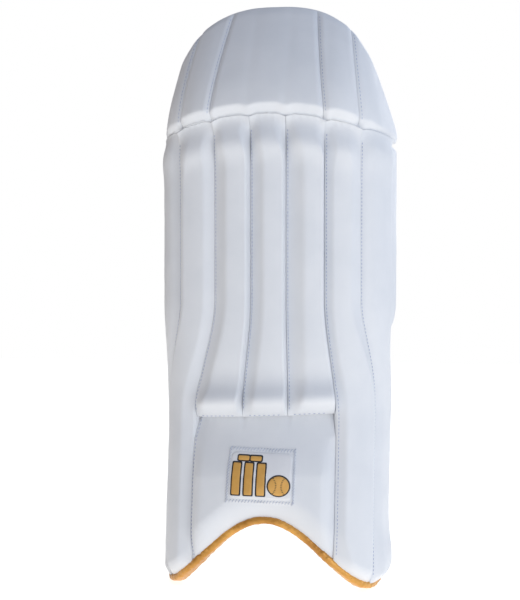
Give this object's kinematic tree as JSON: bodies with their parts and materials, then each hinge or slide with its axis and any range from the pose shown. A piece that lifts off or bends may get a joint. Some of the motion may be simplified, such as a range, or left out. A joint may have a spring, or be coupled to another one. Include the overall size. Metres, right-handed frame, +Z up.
{
  "type": "cricket leg pad",
  "caption": "Padded wicket-keeping leg guard with vertical shin rolls, a domed knee section, an arched instep, side wings and hook-and-loop straps.",
  "frame": {"origin": "on the leg's axis, level with the lowest point of the bottom lobes", "axes": "+Z up along the leg, -Y the front of the shin, +X the outer side of a left leg"},
  "size_m": [0.2502, 0.184, 0.607],
  "materials": {
    "white_pu": "satin",
    "gold_vinyl": "satin",
    "badge_white": "satin",
    "emblem_gold": "satin",
    "foam": "matte",
    "cane": "satin",
    "board": "matte",
    "lining": "matte",
    "bolster_fabric": "matte",
    "webbing": "matte",
    "hook_tape": "matte",
    "loop_tape": "matte"
  },
  "bodies": {
    "shin": {"shin_roll_cover_1": "white_pu", "shin_roll_cover_2": "white_pu", "shin_roll_cover_3": "white_pu", "shin_roll_cover_4": "white_pu", "shin_roll_cover_5": "white_pu", "shin_roll_cover_6": "white_pu", "shin_roll_cover_7": "white_pu", "shin_roll_foam_1": "foam", "shin_roll_foam_2": "foam", "shin_roll_foam_3": "foam", "shin_roll_foam_4": "foam", "shin_roll_foam_5": "foam", "shin_roll_foam_6": "foam", "shin_roll_foam_7": "foam", "instep_cover": "white_pu", "instep_foam": "foam", "badge_patch": "badge_white", "badge_emblem": "emblem_gold", "bottom_binding": "gold_vinyl", "cane_rods": "cane", "shin_backing_board": "board", "shin_lining": "lining", "medial_shin_bolster": "bolster_fabric", "lateral_shin_bolster": "bolster_fabric", "ankle_bolster": "bolster_fabric", "ankle_strap_tab": "loop_tape"},
    "knee": {"knee_centre_cover": "white_pu", "knee_centre_foam": "foam", "knee_medial_flank_cover": "white_pu", "knee_medial_flank_foam": "foam", "knee_lateral_flank_cover": "white_pu", "knee_lateral_flank_foam": "foam", "knee_medial_wing_cover": "white_pu", "knee_medial_wing_foam": "foam", "knee_lateral_wing_cover": "white_pu", "knee_lateral_wing_foam": "foam", "knee_backing_board": "board", "knee_lining": "lining", "knee_upper_bolster": "bolster_fabric", "knee_lower_bolster": "bolster_fabric", "top_edge_binding": "white_pu"},
    "medial_wing": {"medial_wing_cover": "white_pu", "medial_wing_foam": "foam", "medial_wing_binding": "white_pu"},
    "lateral_wing": {"lateral_wing_cover": "white_pu", "lateral_wing_foam": "foam", "lateral_wing_binding": "white_pu", "top_strap_tab": "loop_tape", "calf_strap_tab": "loop_tape"},
    "top_strap": {"top_strap_webbing": "webbing", "top_strap_hook": "hook_tape"},
    "calf_strap": {"calf_strap_webbing": "webbing", "calf_strap_hook": "hook_tape"},
    "ankle_strap": {"ankle_strap_webbing": "webbing", "ankle_strap_hook": "hook_tape"}
  },
  "joints": [
    {"name": "knee_flex", "type": "hinge", "parent": "shin", "child": "knee", "pos_m": [0, -0.074, 0.4875], "axis": [1, 0, 0], "range_deg": [0, 20], "stiffness_Nm_per_rad": 0.6},
    {"name": "medial_wing_flex", "type": "hinge", "parent": "shin", "child": "medial_wing", "pos_m": [-0.1212, -0.00987, 0.35], "axis": [0, 0, 1], "range_deg": [0, 15], "stiffness_Nm_per_rad": 0.4},
    {"name": "lateral_wing_flex", "type": "hinge", "parent": "shin", "child": "lateral_wing", "pos_m": [0.10951, -0.00715, 0.35], "axis": [0, 0, 1], "range_deg": [0, 15], "stiffness_Nm_per_rad": 0.4},
    {"name": "top_strap_open", "type": "hinge", "parent": "medial_wing", "child": "top_strap", "pos_m": [-0.11842, 0.04362, 0.425], "axis": [0, 0, 1], "range_deg": [0, 110]},
    {"name": "calf_strap_open", "type": "hinge", "parent": "medial_wing", "child": "calf_strap", "pos_m": [-0.11842, 0.04362, 0.3], "axis": [0, 0, 1], "range_deg": [0, 110]},
    {"name": "ankle_strap_open", "type": "hinge", "parent": "shin", "child": "ankle_strap", "pos_m": [-0.10793, 0.0021, 0.092], "axis": [0, 0, 1], "range_deg": [0, 110]}
  ]
}
